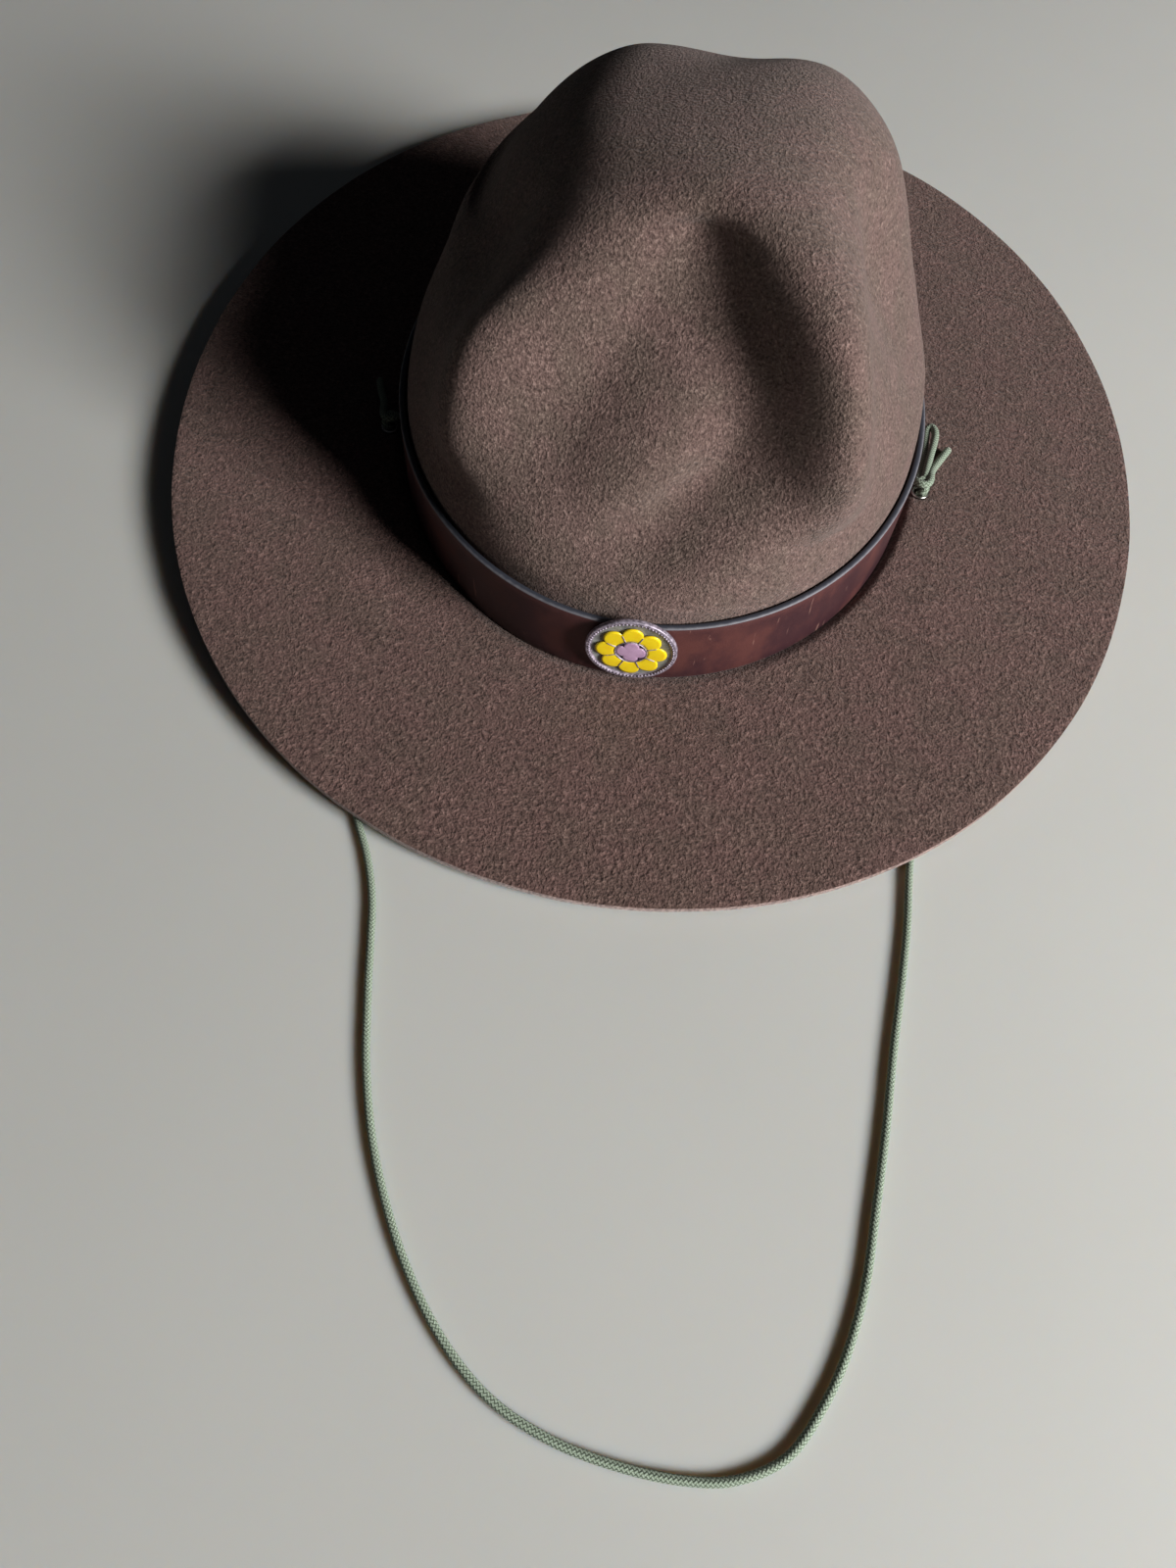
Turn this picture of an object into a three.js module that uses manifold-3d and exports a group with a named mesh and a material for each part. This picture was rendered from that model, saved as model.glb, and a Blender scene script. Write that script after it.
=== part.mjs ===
// A felt campaign hat with a leather hat band, a round badge and a chin cord.
// Millimetres. +X is to the right in a view of the front, -Y is the front, +Z is up, and the felt rests on z = 0.

import * as THREE from 'three';
import { mergeVertices } from 'three/addons/utils/BufferGeometryUtils.js';
import Module from 'manifold-3d';

const wasm = await Module();
wasm.setup();

// Driving dimensions
const gap = 0.3;
const feltThickness = 2.2;
const crownBase = { halfWidth: 85.4, halfLength: 102.0 };
const brimReach = { halfWidth: 164.2, halfLength: 183.2, squareness: 0.0045 };
const brimHeight = { mean: 7.8, toTheBack: 4.6, toTheRight: 0.3, atTheEnds: -0.4, skew: 0.6 };
const brimRise = { width: 6.2, atTheEnds: 1.5, atTheSides: 4.1 };
const bandThickness = 2.0;
const bandWidth = 25;
const badge = { radius: 13.8, height: 18.7, plate: 1.2, rimWidth: 1.5, rimRise: 0.5, studRadius: 1.6 };
const eyelet = { side: 92.2, forward: 15.4, hole: 2.1, wall: 0.4, flange: 3.1, lip: 0.5 };
const cordDiameter = 2.2;
const knotHeight = 9.7;

const around = 64;
const crownLevels = 15;
const colours = { felt: 0x6b5148, leather: 0x3c1d1a, metal: 0x8b838c, yellow: 0xe3b90a, lilac: 0x8f7389, cord: 0x6f7d5f };

// The crown before it is pinched: ovals one above the other, from the band to the peak. They lean up towards +X.
const crownRows = [
    { height: 14, halfWidth: 85.4, halfLength: 102.0, right: 0, back: 0, lean: 0 },
    { height: 30, halfWidth: 84.9, halfLength: 101.4, right: 0.1, back: 0, lean: 0 },
    { height: 44, halfWidth: 82.2, halfLength: 99.2, right: 0.6, back: 0, lean: 0 },
    { height: 60, halfWidth: 76.8, halfLength: 93.8, right: 0.8, back: 0, lean: 0 },
    { height: 75, halfWidth: 71.0, halfLength: 87.0, right: 1.0, back: 0, lean: 0 },
    { height: 89, halfWidth: 65.0, halfLength: 78.5, right: 1.6, back: 0, lean: 1 },
    { height: 100, halfWidth: 58.0, halfLength: 69.0, right: 2.6, back: 0, lean: 2 },
    { height: 107, halfWidth: 50.0, halfLength: 59.0, right: 3.5, back: 1, lean: 2.5 },
    { height: 111.5, halfWidth: 40.0, halfLength: 49.0, right: 5.5, back: 3, lean: 3 },
    { height: 115, halfWidth: 28.0, halfLength: 37.0, right: 8.5, back: 5, lean: 2.5 },
    { height: 117.5, halfWidth: 15.0, halfLength: 21.0, right: 12, back: 6, lean: 1.5 },
    { height: 118.6, halfWidth: 0, halfLength: 0, right: 14, back: 6, lean: 0 },
];

// Curves through a table, one for each of its columns
const curvesThrough = (rows) => Object.fromEntries(Object.keys(rows[0]).map((key) => [
    key,
    new THREE.CatmullRomCurve3(rows.map((row, i) => new THREE.Vector3(i, row[key], 0)), false, 'catmullrom', 0.5),
]));

// A crease is a row of places up the crown, by height and degrees from the front towards +X.
// Each has a depth and two half widths, towards -X and +X. Where the depth is negative, the felt stands out.
function crease(...places) {
    const stops = places.map(([height, azimuth, depth, wideLeft, wideRight]) => (
        { height, azimuth, depth, wideLeft, wideRight }));
    return { stops, curves: curvesThrough(stops) };
}

const creases = {
    front: crease(
        [34, -4, 0, 34, 50], [46, -10, 7, 28, 52], [58, -17, 15, 26, 56], [72, -18, 24, 27, 58], [86, -16, 30, 30, 56],
        [98, -10, 29, 34, 50], [107, -2, 24, 36, 40], [112, 4, 15, 32, 32], [116, 8, 6, 26, 26], [118.6, 10, 0, 20, 20]),
    frontRight: crease(
        [34, -2, 0, 18, 14], [43, 5, 6, 22, 14], [50, 13, 11, 26, 13], [57, 21, 12, 28, 12], [66, 25, 10, 28, 11],
        [80, 24, 9, 28, 11], [92, 20, 10, 26, 11], [104, 17, 8, 22, 12], [112, 16, 0, 18, 14]),
    left: crease(
        [46, -82, 0, 22, 24], [62, -82, 4, 22, 26], [76, -82, 8, 22, 26], [90, -80, 10, 22, 24],
        [102, -80, 8, 20, 22], [111, -80, 3, 18, 20], [117, -80, 0, 18, 20]),
    right: crease(
        [46, 80, 0, 24, 22], [60, 78, 5, 24, 24], [76, 74, 10, 22, 26], [90, 72, 13, 20, 26],
        [102, 72, 10, 18, 24], [111, 74, 4, 16, 20], [117, 76, 0, 16, 18]),
    leftCorner: crease(
        [44, -42, 0, 16, 16], [58, -42, -7, 15, 15], [76, -44, -9, 14, 14], [94, -48, -6, 14, 14], [108, -56, 0, 12, 12]),
    rightCorner: crease(
        [44, 36, 0, 15, 16], [58, 36, -10, 13, 14], [74, 35, -17, 12, 14], [90, 34, -21, 11, 14],
        [102, 35, -17, 11, 14], [110, 37, -9, 11, 12], [116, 40, 0, 11, 12]),
};
const calmRadius = 25;
const hollow = {
    from: new THREE.Vector2(0, 64), to: new THREE.Vector2(2, 40), depth: 3, width: 14, fadeFrom: 90, fadeTo: 110,
};

// How far a crease presses a place in
function dent({ stops, curves }, around, radius, height) {
    const spans = stops.length - 1;
    const passed = stops.filter((stop) => stop.height < height).length - 1;
    const span = THREE.MathUtils.clamp(passed, 0, spans - 1);
    const share = THREE.MathUtils.clamp(
        THREE.MathUtils.inverseLerp(stops[span].height, stops[span + 1].height, height), 0, 1);
    const at = (key) => curves[key].getPoint((span + share) / spans).y;
    const turn = around - THREE.MathUtils.degToRad(at('azimuth'));
    const away = THREE.MathUtils.euclideanModulo(turn + Math.PI, 2 * Math.PI) - Math.PI;
    const wide = at(away < 0 ? 'wideLeft' : 'wideRight');
    return at('depth') * Math.exp(-((radius * away / wide) ** 2));
}

// How far the shallow hollow along the top lowers a place
function hollowAt(place, height) {
    const line = hollow.to.clone().sub(hollow.from);
    const offset = place.clone().sub(hollow.from);
    const along = THREE.MathUtils.clamp(offset.dot(line) / line.lengthSq(), 0, 1);
    const distance = offset.addScaledVector(line, -along).length();
    const fade = THREE.MathUtils.clamp(THREE.MathUtils.inverseLerp(hollow.fadeFrom, hollow.fadeTo, height), 0, 1);
    return hollow.depth * Math.exp(-((distance / hollow.width) ** 2)) * fade;
}

// A point of the crown: azimuth from the front towards +X, level from 0 above the brim to 1 at the peak
const crownCurves = curvesThrough(crownRows);

function crownPoint(azimuth, level) {
    const at = (key) => crownCurves[key].getPoint(level).y;
    const place = new THREE.Vector2(
        at('right') + at('halfWidth') * Math.sin(azimuth),
        at('back') - at('halfLength') * Math.cos(azimuth));
    const [radius, around, height] = [place.length(), Math.atan2(place.x, -place.y), at('height')];
    const inward = Object.values(creases).reduce((sum, each) => sum + dent(each, around, radius, height), 0);
    const calm = Math.min(radius / calmRadius, 1);
    place.multiplyScalar(1 - inward * calm / Math.max(radius, 1e-3));
    return new THREE.Vector3(place.x, place.y, height + at('lean') * Math.sin(azimuth) - hollowAt(place, height));
}

// A point of the brim: outward from the crown by a distance, and then a share of the way to the edge
function brimPoint(azimuth, outward, share, lift) {
    const [sin, cos] = [Math.sin(azimuth), Math.cos(azimuth)];
    const corner = 1 - brimReach.squareness * Math.cos(4 * azimuth);
    const inner = new THREE.Vector2((crownBase.halfWidth + outward) * sin, -(crownBase.halfLength + outward) * cos);
    const outer = new THREE.Vector2(brimReach.halfWidth * corner * sin, -brimReach.halfLength * corner * cos);
    const rise = THREE.MathUtils.lerp(brimRise.atTheEnds, brimRise.atTheSides, sin ** 2)
        * THREE.MathUtils.smoothstep(outward, 0, brimRise.width);
    const edge = brimHeight.mean - brimHeight.toTheBack * cos + brimHeight.toTheRight * sin
        + brimHeight.atTheEnds * Math.cos(2 * azimuth) - brimHeight.skew * Math.sin(2 * azimuth);
    const place = inner.lerp(outer, share);
    return new THREE.Vector3(place.x, place.y, THREE.MathUtils.lerp(rise, edge, share) + lift);
}

// Rings of points, each joined to the next by triangles, with a point closing each end
function skin(rings, firstPole, lastPole) {
    const count = rings[0].length;
    const vertices = [...rings.flat(), firstPole, lastPole];
    const [first, last] = [vertices.length - 2, vertices.length - 1];
    const lastRing = (rings.length - 1) * count;
    const triangles = [];
    for (let i = 0; i < count; i++) {
        const next = (i + 1) % count;
        triangles.push(first, i, next, last, lastRing + next, lastRing + i);
        for (let start = 0; start < lastRing; start += count) {
            const [a, b, c, d] = [start + i, start + next, start + count + next, start + count + i];
            triangles.push(a, c, b, a, d, c);
        }
    }
    return meshOf(vertices, triangles);
}

function meshOf(vertices, triangles) {
    const geometry = new THREE.BufferGeometry();
    geometry.setAttribute('position', new THREE.Float32BufferAttribute(vertices.flatMap((v) => v.toArray()), 3));
    geometry.setIndex(triangles);
    return geometry;
}

// three.js geometry to a manifold solid and back
function toSolid(geometry) {
    const bare = geometry.clone();
    bare.deleteAttribute('normal');
    bare.deleteAttribute('uv');
    const merged = mergeVertices(bare, 1e-4);
    return new wasm.Manifold(new wasm.Mesh({
        numProp: 3,
        vertProperties: new Float32Array(merged.attributes.position.array),
        triVerts: new Uint32Array(merged.index.array),
    }));
}

function toGeometry(solid) {
    const mesh = solid.getMesh();
    const geometry = new THREE.BufferGeometry();
    geometry.setAttribute('position', new THREE.BufferAttribute(new Float32Array(mesh.vertProperties), 3));
    geometry.setIndex(new THREE.BufferAttribute(new Uint32Array(mesh.triVerts), 1));
    return geometry;
}

function addPart(group, name, geometry, color, roughness, metalness = 0) {
    const mesh = new THREE.Mesh(geometry, new THREE.MeshStandardMaterial({ color, roughness, metalness }));
    mesh.name = name;
    group.add(mesh);
    return mesh;
}

const azimuths = Array.from({ length: around }, (_, i) => (i / around) * 2 * Math.PI);
const ring = (place) => azimuths.map(place);

// Felt body: crown and brim are one piece of felt, so its inner skin follows the outer one a felt thickness inside
function feltBody() {
    const levels = Array.from({ length: crownLevels }, (_, i) => 0.93 * (1 - i / (crownLevels - 1)));
    const outerCrown = levels.map((level) => ring((azimuth) => crownPoint(azimuth, level)));
    const peak = crownPoint(0, 1);
    const foot = ring((azimuth) => brimPoint(azimuth, 0, 0, 0));

    const innerCrown = outerCrown.map((points, k) => points.map((point, i) => {
        const above = k > 0 ? outerCrown[k - 1][i] : peak;
        const below = k < crownLevels - 1 ? outerCrown[k + 1][i] : foot[i];
        const left = points[(i + around - 1) % around];
        const right = points[(i + 1) % around];
        const outwards = right.clone().sub(left).cross(above.clone().sub(below)).normalize();
        return point.clone().addScaledVector(outwards, -feltThickness);
    }));
    const innerPeak = peak.clone().setZ(peak.z - feltThickness);

    const turn = [0, 0.25, 0.5, 0.75, 1].map((part) => [part * brimRise.width, 0]);
    const flat = [0.2, 0.45, 0.7, 1].map((share) => [brimRise.width, share]);
    const brim = [...turn, ...flat];
    const brimTop = brim.map(([outward, share]) => ring((azimuth) => brimPoint(azimuth, outward, share, feltThickness)));
    const brimUnder = brim.map(([outward, share]) => ring((azimuth) => brimPoint(azimuth, outward, share, 0)));
    const mouth = ring((azimuth) => brimPoint(azimuth, -feltThickness, 0, 0));

    const rings = [...outerCrown, ...brimTop, ...brimUnder.reverse(), mouth, ...innerCrown.reverse()];
    const shell = toSolid(skin(rings, peak, innerPeak));
    const holes = [-1, 1].map((side) => {
        const drill = new THREE.CylinderGeometry(eyelet.hole + eyelet.wall + gap, eyelet.hole + eyelet.wall + gap, 30, 20);
        return toSolid(drill.rotateX(Math.PI / 2).translate(side * eyelet.side, -eyelet.forward, 0));
    });
    return toGeometry(shell.subtract(holes[0]).subtract(holes[1]));
}

// Hat band: a leather strap round the foot of the crown, its two ends butted behind the badge
function hatBand() {
    const buttGap = 2 * (badge.studRadius + 2 * gap);
    const halfGap = Math.asin(buttGap / 2 / (crownBase.halfWidth + gap));
    const sweep = [halfGap, ...azimuths.slice(1), 2 * Math.PI - halfGap];
    const vertices = sweep.flatMap((azimuth) => {
        const foot = brimPoint(azimuth, gap + bandThickness, 0, feltThickness).z + gap;
        const edge = (outward, rise) => brimPoint(azimuth, outward, 0, 0).setZ(foot + rise);
        return [
            edge(gap, 0), edge(gap + bandThickness, 0),
            edge(gap + bandThickness, bandWidth), edge(gap, bandWidth),
        ];
    });
    const last = vertices.length - 4;
    const triangles = [0, 1, 2, 0, 2, 3, last, last + 2, last + 1, last, last + 3, last + 2];
    for (let start = 0; start < last; start += 4) {
        for (let k = 0; k < 4; k++) {
            const [a, b] = [start + k, start + ((k + 1) % 4)];
            triangles.push(a, b + 4, b, a, a + 4, b + 4);
        }
    }
    return meshOf(vertices, triangles);
}

// Badge: a round plate with a raised rim, a sunk field, and a stud behind that goes between the ends of the band
function badgeDisc() {
    const { radius, plate, rimWidth, rimRise, studRadius } = badge;
    const face = plate + rimRise;
    const profile = [
        [0, -bandThickness], [studRadius, -bandThickness], [studRadius, 0],
        [radius - 0.4, 0], [radius, 0.4], [radius, face - 0.3], [radius - 0.3, face],
        [radius - rimWidth, face], [radius - rimWidth - 0.3, plate], [0, plate],
    ].map(([across, height]) => new THREE.Vector2(across, height));
    return new THREE.LatheGeometry(profile, 32).rotateX(Math.PI / 2);
}

// A closed outline about the centre, from its radius at each turn
function roundOutline(path, steps, radiusAt) {
    const points = Array.from({ length: steps }, (_, i) => {
        const turn = (i / steps) * 2 * Math.PI;
        return new THREE.Vector2(Math.cos(turn), Math.sin(turn)).multiplyScalar(radiusAt(turn));
    });
    return path.setFromPoints(points);
}

const rosette = (petals, reach, waist) => roundOutline(new THREE.Shape(), petals * 8,
    (turn) => waist + (reach - waist) * Math.abs(Math.cos((turn * petals) / 2)) ** 0.6);

function badgePetals() {
    const shape = rosette(8, 10.2, 7.2);
    shape.holes.push(roundOutline(new THREE.Path(), 32, () => 4.3));
    return new THREE.ExtrudeGeometry(shape, { depth: 0.5, bevelEnabled: false });
}

function badgeCentre() {
    return new THREE.ExtrudeGeometry(rosette(4, 3.9, 2.3), { depth: 0.7, bevelEnabled: false });
}

// Eyelet: a short tube through the brim with a round flange on top
function eyeletRing(brimTop) {
    const { hole, wall, flange, lip } = eyelet;
    const low = -feltThickness - 0.4;
    const profile = [
        [hole, low], [hole + wall, low], [hole + wall, gap], [flange, gap], [flange, gap + lip * 0.6],
        [flange - 0.3, gap + lip], [hole + 0.2, gap + lip], [hole, gap + lip * 0.6], [hole, low],
    ].map(([across, height]) => new THREE.Vector2(across, height + brimTop));
    return new THREE.LatheGeometry(profile, 16).rotateX(Math.PI / 2);
}

// A round cord along hand-chosen points
function cordTube(points, steps) {
    const section = roundOutline(new THREE.Shape(), 8, () => cordDiameter / 2);
    const route = new THREE.CatmullRomCurve3(points.map((point) => new THREE.Vector3(...point)), false, 'centripetal');
    return new THREE.ExtrudeGeometry(section, { steps, extrudePath: route });
}

// Where the cord lies: down through each eyelet, under the brim, and round in one loop on the surface
const lie = cordDiameter / 2 + 0.1;
const dropRight = [
    [92.2, -15.4, 7.1], [92.2, -15.4, 6.4], [92.2, -15.45, 5.6], [92.2, -15.8, 4.0], [92.25, -16.8, 2.6],
    [92.3, -18.3, 1.6], [92.35, -20.2, lie], [92.45, -23.0, lie], [92.6, -26.0, lie],
];
const dropLeft = dropRight.map(([x, y, z]) => [-x, y, z]);
const loop = [
    [92.6, -26.3, lie], [93.3, -45, lie], [93.4, -75, lie], [92.1, -105, lie], [89.8, -132, lie],
    [87.4, -157, lie], [86.4, -175, lie], [84.7, -191, lie], [82.0, -212, lie], [79.9, -232, lie],
    [77.2, -252, lie], [74.5, -270, lie], [70.2, -285, lie], [64.6, -297, lie], [57.0, -307.5, lie],
    [46.0, -313.2, lie], [34.5, -314.7, lie], [20.0, -313.8, lie], [3.5, -310.4, lie], [-12.0, -303.4, lie],
    [-25.5, -291.5, lie], [-37.5, -275.0, lie], [-47.5, -255.0, lie], [-53.8, -235.5, lie], [-57.8, -215.5, lie],
    [-60.5, -199, lie], [-62.6, -187.5, lie], [-66.5, -175.5, lie], [-72.5, -162.5, lie], [-81.5, -140, lie],
    [-89.6, -112, lie], [-94.3, -80, lie], [-94.8, -50, lie], [-92.6, -26.3, lie],
];

// Knots that hold the cord above the eyelets: one tied in a bow with a free end, and a plain one with a free end
function knotBody(side) {
    const ball = new THREE.SphereGeometry(1, 12, 8).rotateX(Math.PI / 2).scale(3.4, 2.9, 2.2);
    return toSolid(ball.translate(side * (eyelet.side + 0.5), -eyelet.forward + 1.6, knotHeight));
}

function knotRight() {
    const bow = cordTube([
        [92.6, -12.5, 9.5], [93.9, -6, 9.2], [95.4, 1, 8.9], [96.9, 8, 8.7], [97.3, 12, 8.7], [96.6, 14.6, 8.7],
        [95.0, 14.9, 8.7], [94.0, 12.3, 8.7], [93.3, 7, 8.7], [92.2, 0, 8.7], [91.2, -7, 8.9], [91.2, -11.5, 9.3],
    ], 28);
    const freeEnd = cordTube([[93.6, -12.4, 9.7], [95.4, -7.3, 9.0], [98.9, -0.9, 8.6], [102.6, 6.2, 8.6]], 8);
    return toGeometry(knotBody(1).add(toSolid(bow)).add(toSolid(freeEnd)));
}

function knotLeft() {
    const freeEnd = cordTube([[-93.6, -12.4, 9.7], [-95.4, -7.3, 9.0], [-97.9, -0.9, 8.6], [-99.6, 6.2, 8.6]], 8);
    return toGeometry(knotBody(-1).add(toSolid(freeEnd)));
}

// The hat
const hat = new THREE.Group();

addPart(hat, 'felt_body', feltBody(), colours.felt, 0.95);
addPart(hat, 'hat_band', hatBand(), colours.leather, 0.45);

const badgeGroup = new THREE.Group();
badgeGroup.position.set(0, -(crownBase.halfLength + gap + bandThickness + gap), badge.height);
badgeGroup.rotation.x = Math.PI / 2;
hat.add(badgeGroup);
addPart(badgeGroup, 'badge_disc', badgeDisc(), colours.metal, 0.4, 0.9);
addPart(badgeGroup, 'badge_petals', badgePetals(), colours.yellow, 0.3).position.z = badge.plate + gap;
addPart(badgeGroup, 'badge_centre', badgeCentre(), colours.lilac, 0.35).position.z = badge.plate + gap;

for (const [name, side] of [['eyelet_left', -1], ['eyelet_right', 1]]) {
    const brimTop = brimPoint(side * Math.PI * 0.45, brimRise.width, 0.02, feltThickness).z;
    addPart(hat, name, eyeletRing(brimTop), colours.metal, 0.4, 0.9).position.set(side * eyelet.side, -eyelet.forward, 0);
}

addPart(hat, 'knot_right', knotRight(), colours.cord, 0.9);
addPart(hat, 'knot_left', knotLeft(), colours.cord, 0.9);
addPart(hat, 'cord_drop_right', cordTube(dropRight, 10), colours.cord, 0.9);
addPart(hat, 'cord_drop_left', cordTube(dropLeft, 10), colours.cord, 0.9);
addPart(hat, 'chin_cord', cordTube(loop, 80), colours.cord, 0.9);

export default hat;
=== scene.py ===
"""A felt campaign hat with a leather band, a round badge and a braided chin cord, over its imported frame.

Metres. +X is to the right in a view of the front, -Y is the front, +Z is up, and the felt rests on z = 0.
Tables are in millimetres, because a hatter's are, and are turned into metres where they are read.
"""

import logging
import math
from collections.abc import Sequence
from dataclasses import dataclass, field
from enum import Enum
from typing import NamedTuple

import bmesh
import bpy
import numpy as np
from mathutils import Matrix, Vector, noise

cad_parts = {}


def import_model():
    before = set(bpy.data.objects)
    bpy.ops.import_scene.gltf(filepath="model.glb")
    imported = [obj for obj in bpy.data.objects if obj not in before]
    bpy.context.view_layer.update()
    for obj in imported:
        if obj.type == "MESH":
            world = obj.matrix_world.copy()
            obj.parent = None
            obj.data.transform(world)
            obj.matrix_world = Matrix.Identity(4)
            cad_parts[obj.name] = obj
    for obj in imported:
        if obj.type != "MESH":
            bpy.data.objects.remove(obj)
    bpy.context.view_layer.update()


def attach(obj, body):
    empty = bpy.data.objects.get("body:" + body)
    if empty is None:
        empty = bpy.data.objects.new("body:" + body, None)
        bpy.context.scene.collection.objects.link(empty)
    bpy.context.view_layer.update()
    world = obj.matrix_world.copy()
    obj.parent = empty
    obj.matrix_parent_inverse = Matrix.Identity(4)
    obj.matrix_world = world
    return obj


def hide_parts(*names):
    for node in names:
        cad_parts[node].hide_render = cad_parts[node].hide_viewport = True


logging.basicConfig(level=logging.INFO, format="%(message)s")
log = logging.getLogger("campaign_hat")

MM = 0.001
FULL_TURN = 2 * math.pi
SAME_PLACE = 1e-6
LUMPS_PER_CELL = 0.6
PHOTO_SIZE = (1200, 1600)

Colour = tuple[float, float, float]
Point = tuple[float, float, float]
BMesh = bmesh.types.BMesh
Material = bpy.types.Material
Socket = bpy.types.NodeSocket


class Slot(Enum):
    """The record's material slots."""

    FELT = "felt"
    BAND = "band_leather"
    METAL = "badge_metal"
    YELLOW = "yellow_enamel"
    LILAC = "lilac_enamel"
    EYELET = "eyelet_metal"
    CORD = "cord"


class Side(Enum):
    """A side of the hat in a view of its front."""

    LEFT = -1
    RIGHT = 1


# Curves and small maths


def catmull_rom(rows: np.ndarray, share: np.ndarray) -> np.ndarray:
    """Points on a smooth curve through the rows.

    Args:
        rows: one row of numbers for each point that the curve goes through.
        share: places along the curve, from 0 at the first row to 1 at the last.

    Returns:
        One row of numbers for each place.
    """
    spans = len(rows) - 1
    place = np.clip(share, 0, 1) * spans
    index = np.minimum(place.astype(int), spans - 1)
    t = (place - index)[..., None]
    padded = np.vstack([2 * rows[0] - rows[1], rows, 2 * rows[-1] - rows[-2]])
    p0, p1, p2, p3 = (padded[index + k] for k in range(4))
    bend = 2 * p0 - 5 * p1 + 4 * p2 - p3
    turn = 3 * p1 - p0 - 3 * p2 + p3
    return 0.5 * (2 * p1 + (p2 - p0) * t + bend * t**2 + turn * t**3)


def smoothstep(value: np.ndarray, low: float, high: float) -> np.ndarray:
    """0 below low, 1 above high, and a soft rise between."""
    t = np.clip((value - low) / (high - low), 0, 1)
    return t * t * (3 - 2 * t)


def lerp(start: np.ndarray | float, end: np.ndarray | float, share: np.ndarray | float) -> np.ndarray | float:
    """The value at a share of the way from start to end."""
    return start + (end - start) * share


def positions(bm: BMesh) -> np.ndarray:
    """The places of a bmesh's vertices, one row each."""
    return np.array([vert.co for vert in bm.verts], float).reshape(-1, 3)


def move_to(bm: BMesh, places: np.ndarray) -> None:
    """Moves each vertex of a bmesh to its row of places."""
    for vert, place in zip(bm.verts, places):
        vert.co = Vector(place)


def sewn(bm: BMesh, distance: float = SAME_PLACE) -> BMesh:
    """The same bmesh with vertices at one place merged, and its faces pointing out."""
    bmesh.ops.remove_doubles(bm, verts=bm.verts, dist=distance)
    bmesh.ops.recalc_face_normals(bm, faces=bm.faces)
    return bm


# Materials


class Bench:
    """A new material's node tree, with short calls that add a node and join it."""

    def __init__(self, name: str) -> None:
        """Starts a material with its Principled shader."""
        self.material = bpy.data.materials.new(name)
        self.material.use_nodes = True
        self.nodes = self.material.node_tree.nodes
        self.links = self.material.node_tree.links
        self.shader = self.nodes["Principled BSDF"]
        self.coords = self.nodes.new("ShaderNodeTexCoord")

    def plug(self, socket: Socket, value: object) -> None:
        """Joins an output to the socket, or sets the socket's own value."""
        if isinstance(value, Socket):
            self.links.new(value, socket)
        elif isinstance(value, tuple) and len(value) == 3 and socket.type == "RGBA":
            socket.default_value = (*value, 1)
        else:
            socket.default_value = value

    def add(
        self, kind: str, output: int | str, inputs: dict[int | str, object], **settings: object
    ) -> Socket:
        """Adds a node.

        Args:
            kind: the node's type, without its ShaderNode prefix.
            output: the name or number of the output that is wanted.
            inputs: a value or an output for each named or numbered input.
            settings: the node's own properties.

        Returns:
            The wanted output.
        """
        node = self.nodes.new("ShaderNode" + kind)
        for name, value in settings.items():
            setattr(node, name, value)
        for key, value in inputs.items():
            self.plug(node.inputs[key], value)
        return node.outputs[output]

    def place(self, scale: Point, turn: Point = (0, 0, 0)) -> Socket:
        """Object coordinates, stretched by a scale and turned."""
        at = self.coords.outputs["Object"]
        return self.add("Mapping", 0, {"Vector": at, "Rotation": turn, "Scale": scale})

    def attribute(self, name: str) -> Socket:
        """A number kept on the piece's own vertices."""
        return self.add("Attribute", "Fac", {}, attribute_name=name)

    def noise(
        self, size: float, detail: float = 2, vector: Socket | None = None, rough: float = 0.5
    ) -> Socket:
        """Soft noise whose lumps are about the given size in metres."""
        at = vector or self.coords.outputs["Object"]
        scale = LUMPS_PER_CELL / size
        return self.add("TexNoise", 0, {"Vector": at, "Scale": scale, "Detail": detail, "Roughness": rough})

    def cells(self, size: float) -> Socket:
        """Distances in Voronoi cells of about the given size in metres."""
        at = self.coords.outputs["Object"]
        return self.add("TexVoronoi", "Distance", {"Vector": at, "Scale": 1 / size})

    def math(self, operation: str, *values: object) -> Socket:
        """One step of arithmetic."""
        return self.add("Math", 0, dict(enumerate(values)), operation=operation)

    def times(self, value: Socket, factor: float) -> Socket:
        """A value multiplied by a factor."""
        return self.math("MULTIPLY", value, factor)

    def ramp(self, value: Socket, low: float, high: float) -> Socket:
        """0 where the value is low, 1 where it is high, and a soft rise between."""
        return self.add("MapRange", 0, {0: value, 1: low, 2: high}, interpolation_type="SMOOTHSTEP")

    def spread(self, value: Socket, low: float, high: float) -> Socket:
        """A noise's middle reach, from 0.3 to 0.7, laid out from low to high."""
        return self.add("MapRange", 0, {0: value, 1: 0.3, 2: 0.7, 3: low, 4: high})

    def between(self, share: object, first: object, second: object) -> Socket:
        """Two numbers mixed by a share."""
        return self.add("Mix", 0, {0: share, 2: first, 3: second})

    def mix(self, share: object, first: object, second: object, blend: str = "MIX") -> Socket:
        """Two colours mixed by a share."""
        return self.add("Mix", 2, {0: share, 6: first, 7: second}, data_type="RGBA", blend_type=blend)

    def bump(self, height: Socket, depth: float, strength: float = 1) -> None:
        """Gives the shader a relief of the given depth in metres."""
        normal = self.add("Bump", 0, {"Height": height, "Distance": depth, "Strength": strength})
        self.plug(self.shader.inputs["Normal"], normal)

    def finish(self, **values: object) -> Material:
        """Sets the shader's inputs, by name with spaces as underscores, and gives the material."""
        for name, value in values.items():
            self.plug(self.shader.inputs[name.replace("_", " ")], value)
        return self.material


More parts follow.
